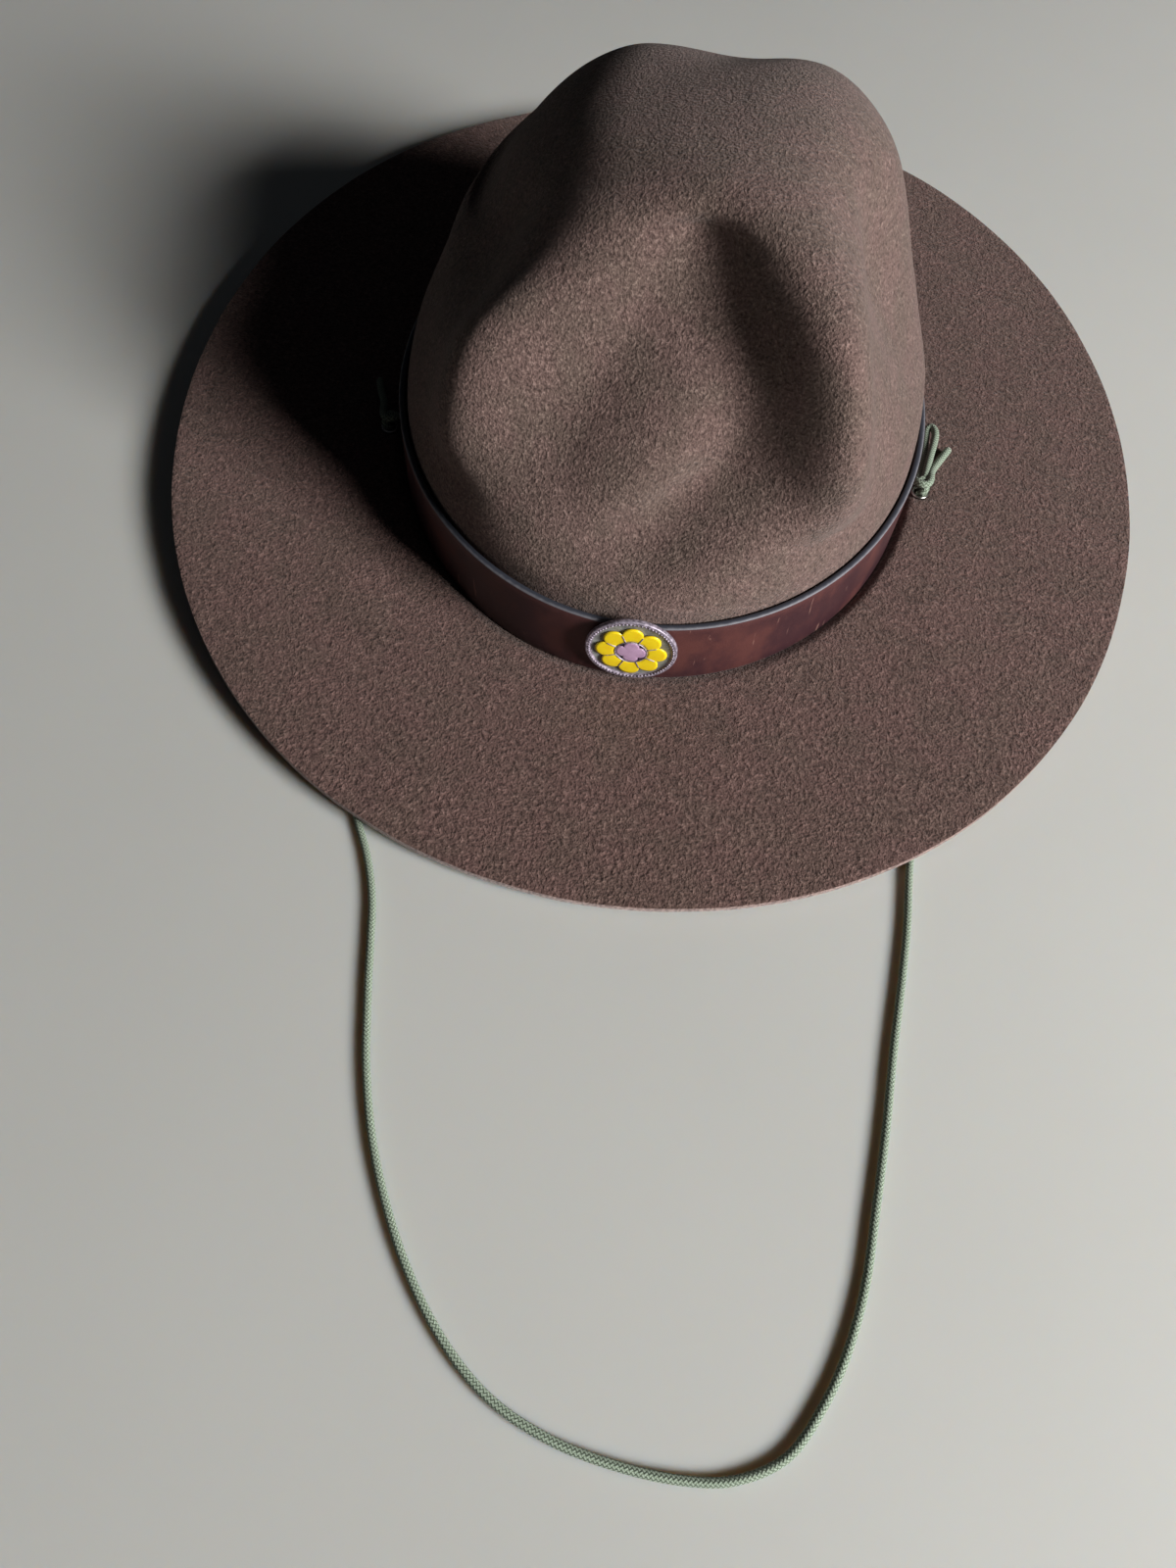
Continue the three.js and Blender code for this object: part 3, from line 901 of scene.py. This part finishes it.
@dataclass
class FeltBody:
    """Crown and brim, one piece of felt with two holes for the eyelets."""

    crown: Crown = field(default_factory=Crown)
    brim: Brim = field(default_factory=Brim)
    thickness: float = 2.2
    around: int = 288
    crown_rings: int = 84
    foot_rings: int = 6
    turn_rings: int = 8
    brim_rings: int = 40
    eyelet_side: float = 92.2
    eyelet_forward: float = 15.4
    hole_radius: float = 2.8
    hole_steps: int = 32
    collar_reach: float = 5.0
    brim_below: float = 12.0
    unevenness: float = 0.28
    unevenness_seed: int = 7
    waves_per_metre: tuple[float, float] = (28, 75)
    edge_roundness: float = 0.5

    def rings(self) -> int:
        """How many rings the felt has, from the peak to the brim's edge."""
        return self.crown_rings + self.foot_rings + self.turn_rings + self.brim_rings

    def top_of_brim(self, azimuth: float, outward: float, share: float) -> Vector:
        """One place on the brim's upper face, in metres."""
        one = lambda value: np.array([value], float)
        return Vector(self.brim.surface(one(azimuth), one(outward), one(share), self.thickness)[0])

    def shape(self, ring: np.ndarray, azimuth: np.ndarray) -> np.ndarray:
        """Places on the felt's upper face, by ring from the peak and by azimuth."""
        above_foot = self.crown_rings
        above_turn = above_foot + self.foot_rings
        above_brim = above_turn + self.turn_rings
        crown = self.crown.surface(azimuth, np.clip(1 - ring / above_foot, 0, 1))
        turn = np.clip((ring - above_turn) / self.turn_rings, 0, 1)
        share = np.clip((ring - above_brim) / self.brim_rings, 0, 1)
        brim = self.brim.surface(azimuth, turn * self.brim.turn_width, share, self.thickness)
        drop = np.clip((ring - above_foot) / self.foot_rings, 0, 1)[:, None]
        return np.where((ring <= above_turn)[:, None], crown + (brim - crown) * drop, brim)

    def uneven(self, places: np.ndarray, ring: np.ndarray) -> np.ndarray:
        """The same places with the small unevenness of real felt, and none under the band."""
        above_brim = self.crown_rings + self.foot_rings + self.turn_rings
        calm = smoothstep(places[:, 2], 0.034, 0.045) + smoothstep(ring, above_brim + 2, above_brim + 10)
        noise.seed_set(self.unevenness_seed)
        moved = places.copy()
        for index, place in enumerate(places):
            if calm[index] > 0:
                broad, fine = (noise.noise_vector(Vector(place) * count) for count in self.waves_per_metre)
                wave = broad * 0.8 + fine * 0.35
                moved[index] += np.array(wave) * self.unevenness * calm[index] * MM
        return moved

    def drill(self, bm: BMesh, side: Side) -> None:
        """Cuts a round hole with a clean collar of faces for one eyelet."""
        centre = Vector((side.value * self.eyelet_side, -self.eyelet_forward, 0)) * MM
        flat = lambda point: (Vector((point.x, point.y, 0)) - centre).length
        reach = self.collar_reach * MM
        middles = {face: face.calc_center_median() for face in bm.faces}
        near = [face for face, at in middles.items() if flat(at) < reach and at.z < self.brim_below * MM]
        height = sum((middles[face].z for face in near), 0.0) / len(near)
        bmesh.ops.delete(bm, geom=near, context="FACES")
        rim = [edge for edge in bm.edges if edge.is_boundary and flat(edge.verts[0].co) < 3 * reach]
        circle = bmesh.ops.create_circle(
            bm,
            cap_ends=False,
            segments=self.hole_steps,
            radius=self.hole_radius * MM,
            matrix=Matrix.Translation((centre.x, centre.y, height)),
        )
        loop = dict.fromkeys(e for v in circle["verts"] for e in v.link_edges)
        bmesh.ops.bridge_loops(bm, edges=[*rim, *loop])

    def build(self) -> bpy.types.Object:
        """Makes the felt."""
        count = self.rings()
        bm = spun([(float(index), 0.0) for index in range(count + 1)], self.around)
        flat = positions(bm)
        ring, azimuth = np.hypot(flat[:, 0], flat[:, 1]), np.arctan2(flat[:, 0], -flat[:, 1])
        move_to(bm, self.uneven(self.shape(ring, azimuth), ring))
        coarse = bm.verts.layers.float.new("coarse")
        brim_start = self.crown_rings + self.foot_rings
        for vert, place in zip(bm.verts, ring):
            vert[coarse] = float(np.clip((place - brim_start) / self.turn_rings, 0, 1))
        for side in Side:
            self.drill(bm, side)
        bmesh.ops.recalc_face_normals(bm, faces=bm.faces)
        if max(bm.faces, key=lambda f: f.calc_center_median().z).normal.z < 0:
            bmesh.ops.reverse_faces(bm, faces=bm.faces)
        felt, cut = FeltFinish().material(), CutFeltFinish().material()
        obj = add_piece("crown_and_brim", bm, (felt, cut), ("felt_body",))
        wall = obj.modifiers.new("felt_wall", "SOLIDIFY")
        wall.thickness = self.thickness * MM
        wall.offset = -1
        wall.material_offset_rim = 1
        rounding = obj.modifiers.new("cut_edge", "BEVEL")
        rounding.width = self.edge_roundness * MM
        rounding.segments = 2
        rounding.limit_method = "ANGLE"
        rounding.angle_limit = math.radians(60)
        return obj


# The band and the badge


@dataclass
class HatBand:
    """A leather strap round the foot of the crown, its ends butted behind the badge."""

    felt: FeltBody
    thickness: float = 2.0
    width: float = 25.0
    gap: float = 0.3
    butt_gap: float = 4.4
    corner: float = 0.45
    around: int = 300
    spin_radius: float = 1000.0

    def section(self) -> list[tuple[float, float]]:
        """Distance out and rise of each point round the strap's section, in millimetres."""
        near, far, top, c = self.gap, self.gap + self.thickness, self.width, self.corner
        half = c * 0.3
        face = [(far, c + (top - 2 * c) * k / 8) for k in range(9)]
        return [
            (near + c, 0.0),
            (far - c, 0.0),
            (far - half, half),
            *face,
            (far - half, top - half),
            (far - c, top),
            ((near + far) / 2, top + 0.12),
            (near + c, top),
            (near + half, top - half),
            (near, top - c),
            (near, c),
            (near + half, half),
        ]

    def build(self) -> bpy.types.Object:
        """Makes the strap."""
        bm = bmesh.new()
        half_gap = math.asin(self.butt_gap / 2 / self.felt.brim.crown_half_width)
        verts = [bm.verts.new((self.spin_radius + out, 0, rise)) for out, rise in self.section()]
        edges = [bm.edges.new((a, b)) for a, b in zip(verts, verts[1:] + verts[:1])]
        sweep = FULL_TURN - 2 * half_gap
        bmesh.ops.spin(
            bm,
            geom=verts + edges,
            cent=(0, 0, 0),
            axis=(0, 0, 1),
            angle=sweep,
            steps=self.around,
            use_merge=False,
        )
        turned = Matrix.Rotation(half_gap - math.pi / 2, 3, "Z")
        bmesh.ops.transform(bm, matrix=turned.to_4x4(), verts=bm.verts)
        ends = [e for e in bm.edges if e.is_boundary]
        bmesh.ops.holes_fill(bm, edges=ends, sides=0)
        bm.verts.ensure_lookup_table()
        flat = positions(bm)
        azimuth = np.arctan2(flat[:, 0], -flat[:, 1])
        out, rise = np.hypot(flat[:, 0], flat[:, 1]) - self.spin_radius, flat[:, 2]
        nothing = np.zeros(len(out))
        places = self.felt.brim.surface(azimuth, out, nothing, 0)
        outer = nothing + self.gap + self.thickness
        foot = self.felt.brim.surface(azimuth, outer, nothing, self.felt.thickness)
        places[:, 2] = foot[:, 2] + (self.gap + rise) * MM
        rises, across = bm.verts.layers.float.new("rise"), bm.verts.layers.float.new("across")
        for vert, r, o in zip(bm.verts, rise, out):
            vert[rises], vert[across] = r / self.width, (o - self.gap) / self.thickness
        move_to(bm, places)
        bmesh.ops.recalc_face_normals(bm, faces=bm.faces)
        limit = self.width - self.corner * 1.05
        for face in bm.faces:
            middle = sum(v[rises] for v in face.verts) / len(face.verts) * self.width
            face.material_index = 1 if middle > limit or middle < self.corner * 1.05 else 0
        leather, edge = LeatherFinish().material(), BurnishedEdgeFinish().material()
        return add_piece("leather_band", bm, (leather, edge), ("hat_band",))


@dataclass
class Badge:
    """A round pewter badge with a beaded rim and an enamel rosette, flat on the front of the band."""

    radius: float = 13.8
    height: float = 18.7
    back: float = 104.6
    plate: float = 1.2
    rim_width: float = 1.5
    rim_rise: float = 0.5
    stud_radius: float = 1.6
    stud_length: float = 2.0
    beads: int = 72
    bead_radius: float = 0.36
    petals: int = 8
    petal_reach: float = 10.8
    petal_waist: float = 8.0
    petal_hole: float = 4.9
    heart_reach: float = 4.6
    heart_waist: float = 3.0
    lift: float = 0.3
    cell_rings: int = 7
    rib_width: float = 0.35
    ring_wall: float = 0.3

    def stand(self) -> Matrix:
        """Turns the badge from flat to upright and puts it on the band."""
        upright = Matrix.Rotation(math.pi / 2, 4, "X")
        return Matrix.Translation((0, -self.back * MM, self.height * MM)) @ upright @ Matrix.Scale(MM, 4)

    def outline(self, turn: float, petals: int, reach: float, waist: float) -> float:
        """The radius of a rosette's outline at a turn."""
        return waist + (reach - waist) * abs(math.cos(turn * petals / 2)) ** 0.6

    def plate_mesh(self) -> BMesh:
        """The plate with its stud, its raised rim and a ring of beads."""
        face, rim = self.plate + self.rim_rise, self.radius - self.rim_width
        profile = [
            (0, -self.stud_length),
            (self.stud_radius, -self.stud_length),
            (self.stud_radius, 0),
            (self.radius - 0.4, 0),
            (self.radius, 0.35),
            (self.radius, face - 0.35),
            (self.radius - 0.12, face - 0.1),
            (self.radius - 0.35, face),
            (rim + 0.35, face),
            (rim + 0.1, face - 0.1),
            (rim - 0.1, self.plate + 0.1),
            (rim - 0.4, self.plate),
            (rim - 4, self.plate - 0.05),
            (0, self.plate),
        ]
        plate = spun(profile, 96)
        ring = []
        for index in range(self.beads):
            turn = index / self.beads * FULL_TURN
            bead = bmesh.new()
            bmesh.ops.create_uvsphere(bead, u_segments=8, v_segments=6, radius=self.bead_radius)
            centre = rim + self.bead_radius
            place = Vector((math.cos(turn) * centre, math.sin(turn) * centre, face - 0.05))
            bmesh.ops.translate(bead, vec=place, verts=bead.verts)
            ring.append(bead)
        return merged([plate, *ring])

    def cell(
        self, petals: int, reach: float, waist: float, hole: float, steps: int, thickness: float, dome: float
    ) -> BMesh:
        """A cell of enamel with the outline of a rosette, swelling slightly between its edges.

        Args:
            petals: how many petals the outline has.
            reach: the outline's largest radius, in millimetres.
            waist: its smallest radius.
            hole: the radius of the hole in its middle, or 0.
            steps: how many steps the outline takes.
            thickness: the cell's thickness at its edges.
            dome: how much thicker it is in between.

        Returns:
            The cell's mesh.
        """
        rings = self.cell_rings
        top = [(1 + index / rings, thickness) for index in range(rings + 1)]
        bm = spun([(1, 0.0), *top, (2, 0.0)], steps, closed=True)
        flat = positions(bm)
        share, turn = np.hypot(flat[:, 0], flat[:, 1]) - 1, np.arctan2(flat[:, 1], flat[:, 0])
        outer = np.array([self.outline(t, petals, reach, waist) for t in turn])
        radius = lerp(hole, outer, share)
        swell = dome * np.clip(1 - (2 * share - 1) ** 2, 0, 1) if hole else dome * (1 - share**2)
        height = np.where(flat[:, 2] > 0, flat[:, 2] + swell, 0)
        move_to(bm, np.stack([radius * np.cos(turn), radius * np.sin(turn), height], 1))
        return sewn(bm, SAME_PLACE / MM / 10)

    def spokes(self) -> BMesh:
        """The thin walls of metal between the petals and round the middle."""
        ribs = []
        for index in range(self.petals):
            turn = (index + 0.5) / self.petals * FULL_TURN
            rib = bmesh.new()
            bmesh.ops.create_cube(rib, size=1)
            length = self.petal_waist - self.petal_hole
            middle = (self.petal_waist + self.petal_hole) / 2
            bmesh.ops.scale(rib, vec=(length, self.rib_width, 1.0), verts=rib.verts)
            bmesh.ops.bevel(
                rib, geom=rib.edges, offset=0.1, affect="EDGES", segments=2, profile=0.5, material=-1
            )
            bmesh.ops.translate(rib, vec=(middle, 0, self.plate + 0.55), verts=rib.verts)
            bmesh.ops.rotate(rib, matrix=Matrix.Rotation(turn, 3, "Z"), verts=rib.verts)
            ribs.append(rib)
        inner, outer, plate = self.petal_hole - self.ring_wall, self.petal_hole, self.plate
        profile = [
            (inner, plate - 0.1),
            (inner, plate + 0.95),
            (outer - self.ring_wall / 2, plate + 1.05),
            (outer, plate + 0.95),
            (outer, plate - 0.1),
        ]
        return merged([spun(profile, 64, closed=True), *ribs])

    def build(self) -> list[bpy.types.Object]:
        """Makes the plate and its two colours of enamel."""
        bright, dull = (0.52, 0.45, 0.54), (0.2, 0.17, 0.21)
        pewter = MetalFinish("pewter", bright, dull, 0.7 * MM, (0.35, 0.6), 0.45, 0.1 * MM)
        bright, dull = (0.3, 0.31, 0.29), (0.2, 0.2, 0.2)
        field_finish = MetalFinish("field", bright, dull, 1.1 * MM, (0.45, 0.7), 0.2, 0.06 * MM)
        yellow = EnamelFinish("yellow_enamel", (0.99, 0.74, 0.012), (0.97, 0.65, 0.01))
        lilac = EnamelFinish("lilac_enamel", (0.56, 0.36, 0.53), (0.46, 0.28, 0.44))
        plate = merged([self.plate_mesh(), self.spokes()])
        for face in plate.faces:
            middle = face.calc_center_median()
            in_field = self.petal_hole < middle.xy.length < self.radius - self.rim_width - 0.1
            face.material_index = int(in_field and self.plate - 0.2 < middle.z < self.plate + 0.05)
        petals = self.cell(self.petals, self.petal_reach, self.petal_waist, self.petal_hole, 192, 0.5, 0.1)
        heart = self.cell(4, self.heart_reach, self.heart_waist, 0, 96, 0.6, 0.15)
        for cell in (petals, heart):
            bmesh.ops.translate(cell, vec=(0, 0, self.plate + self.lift), verts=cell.verts)
        made = []
        for name, bm, slot, finishes, node in (
            ("badge_plate", plate, Slot.METAL, (pewter, field_finish), "badge_disc"),
            ("badge_yellow_petals", petals, Slot.YELLOW, (yellow,), "badge_petals"),
            ("badge_lilac_heart", heart, Slot.LILAC, (lilac,), "badge_centre"),
        ):
            bmesh.ops.transform(bm, matrix=self.stand(), verts=bm.verts)
            made.append(add_piece(name, bm, [finish.material() for finish in finishes], (node,)))
        return made


# The eyelets, the knots and the cord


@dataclass
class Eyelet:
    """A nickel eyelet: a tube through the brim, rolled over on top."""

    felt: FeltBody
    side: Side
    hole: float = 2.1
    wall: float = 0.4
    flange: float = 3.1
    lip: float = 0.5
    gap: float = 0.3

    def build(self) -> bpy.types.Object:
        """Makes the eyelet."""
        low, hole, wall = -self.felt.thickness - 0.4, self.hole, self.wall
        profile = [
            (hole, low),
            (hole + wall, low),
            (hole + wall, self.gap),
            (self.flange - 0.1, self.gap),
            (self.flange, self.gap + 0.15),
            (self.flange - 0.08, self.gap + 0.35),
            (self.flange - 0.3, self.gap + self.lip),
            (hole + 0.45, self.gap + self.lip),
            (hole + 0.15, self.gap + self.lip - 0.1),
            (hole, self.gap + self.lip - 0.35),
        ]
        bm = spun([(across * MM, height * MM) for across, height in profile], 48, closed=True)
        top = self.felt.top_of_brim(self.side.value * math.pi * 0.45, self.felt.brim.turn_width, 0.02).z
        place = Vector((self.side.value * self.felt.eyelet_side * MM, -self.felt.eyelet_forward * MM, top))
        bmesh.ops.translate(bm, vec=place, verts=bm.verts)
        name = self.side.name.lower()
        bright, dull = (0.75, 0.73, 0.69), (0.5, 0.48, 0.45)
        nickel = MetalFinish("nickel_" + name, bright, dull, 1.2 * MM, (0.2, 0.4), 1.0, 0.03 * MM)
        return add_piece("eyelet_ring_" + name, bm, (nickel.material(),), ("eyelet_" + name,))


@dataclass
class ChinCord:
    """One limp braided cord, down through each eyelet, under the brim and round in a loop on the surface."""

    lie: float = 1.2
    diameter: float = 2.2
    drop: tuple[Point, ...] = (
        (92.2, -15.4, 7.1), (92.2, -15.4, 6.4), (92.2, -15.45, 5.6), (92.2, -15.8, 4.0),
        (92.25, -16.8, 2.6), (92.3, -18.3, 1.6), (92.35, -20.2, 1.2), (92.45, -23.0, 1.2),
    )
    loop: tuple[tuple[float, float], ...] = (
        (92.6, -26.3), (93.3, -45), (93.4, -75), (92.1, -105), (89.8, -132), (87.4, -157),
        (86.4, -175), (84.7, -191), (82.0, -212), (79.9, -232), (77.2, -252), (74.5, -270),
        (70.2, -285), (64.6, -297), (57.0, -307.5), (46.0, -313.2), (34.5, -314.7), (20.0, -313.8),
        (3.5, -310.4), (-12.0, -303.4), (-25.5, -291.5), (-37.5, -275.0), (-47.5, -255.0), (-53.8, -235.5),
        (-57.8, -215.5), (-60.5, -199), (-62.6, -187.5), (-66.5, -175.5), (-72.5, -162.5), (-81.5, -140),
        (-89.6, -112), (-94.3, -80), (-94.8, -50), (-92.6, -26.3),
    )
    bow: tuple[Point, ...] = (
        (92.4, -13.6, 8.8), (93.2, -11.0, 9.6), (94.2, -6.0, 9.6), (95.4, -0.5, 9.5), (96.6, 4.6, 9.4),
        (97.5, 9.6, 9.4), (97.3, 12.8, 9.2), (96.2, 14.4, 8.8), (95.1, 13.4, 8.4), (94.6, 10.8, 8.1),
        (94.0, 4.5, 8.0), (93.0, -2.0, 8.0), (91.8, -8.0, 8.1), (91.2, -11.0, 8.4), (91.4, -13.4, 8.6),
    )
    wrap: tuple[Point, ...] = (
        (93.0, -11.4, 7.8), (91.2, -11.4, 8.2), (90.1, -12.6, 9.2), (90.4, -14.4, 10.2), (91.7, -15.6, 10.7),
        (93.2, -15.6, 10.7), (94.4, -14.2, 10.6), (95.0, -12.0, 10.3), (95.3, -9.6, 9.8), (96.3, -6.6, 9.4),
        (98.2, -2.9, 9.1), (100.2, 0.8, 9.0), (102.4, 4.8, 8.9),
    )
    neck: tuple[Point, ...] = (
        (92.4, -15.4, 6.4), (93.0, -15.9, 7.4), (93.7, -15.3, 8.4), (93.5, -13.8, 9.2), (92.5, -12.8, 9.8),
        (91.4, -13.0, 9.8), (90.8, -14.0, 9.2),
    )
    plain_end: tuple[Point, ...] = ((96.0, -6.4, 9.3), (97.4, -2.9, 9.0), (98.8, 0.8, 8.9), (99.8, 4.8, 8.8))

    def route(self) -> list[Point]:
        """The points of the whole cord, from above the right eyelet to above the left one."""
        lying = [(x, y, self.lie) for x, y in self.loop]
        return [*self.drop, *lying, *[(-x, y, z) for x, y, z in reversed(self.drop)]]

    def knots(self, braid: Material) -> list[bpy.types.Object]:
        """The bow knot above the right eyelet and the plain knot above the left one."""
        cord = Cord(radius=1.3 * MM, step=0.3 * MM)
        mirror = lambda points: [(-x, y, z) for x, y, z in points]
        bow = merged([cord.tube(self.bow), cord.tube(self.neck), cord.tube(self.wrap, (False, True))])
        wrap = [*self.wrap[: -len(self.plain_end)], *self.plain_end]
        plain = merged([cord.tube(mirror(self.neck)), cord.tube(mirror(wrap), (False, True))])
        return [
            add_piece("bow_knot_right", bow, (braid,), ("knot_right",)),
            add_piece("plain_knot_left", plain, (braid,), ("knot_left",)),
        ]

    def build(self) -> bpy.types.Object:
        """Makes the cord and its knots, and says what it is."""
        braid = BraidFinish().material()
        cord = Cord()
        nodes = ("chin_cord", "cord_drop_right", "cord_drop_left")
        obj = add_piece("braided_chin_cord", cord.tube(self.route()), (braid,), nodes)
        knots = self.knots(braid)
        return obj


def main() -> None:
    """Builds the hat and its studio."""
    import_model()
    Studio().build()
    ChinCord().build()
    felt = FeltBody()
    felt.build()
    HatBand(felt).build()
    Badge().build()
    for side in Side:
        Eyelet(felt, side).build()


if __name__ == "__main__":
    main()
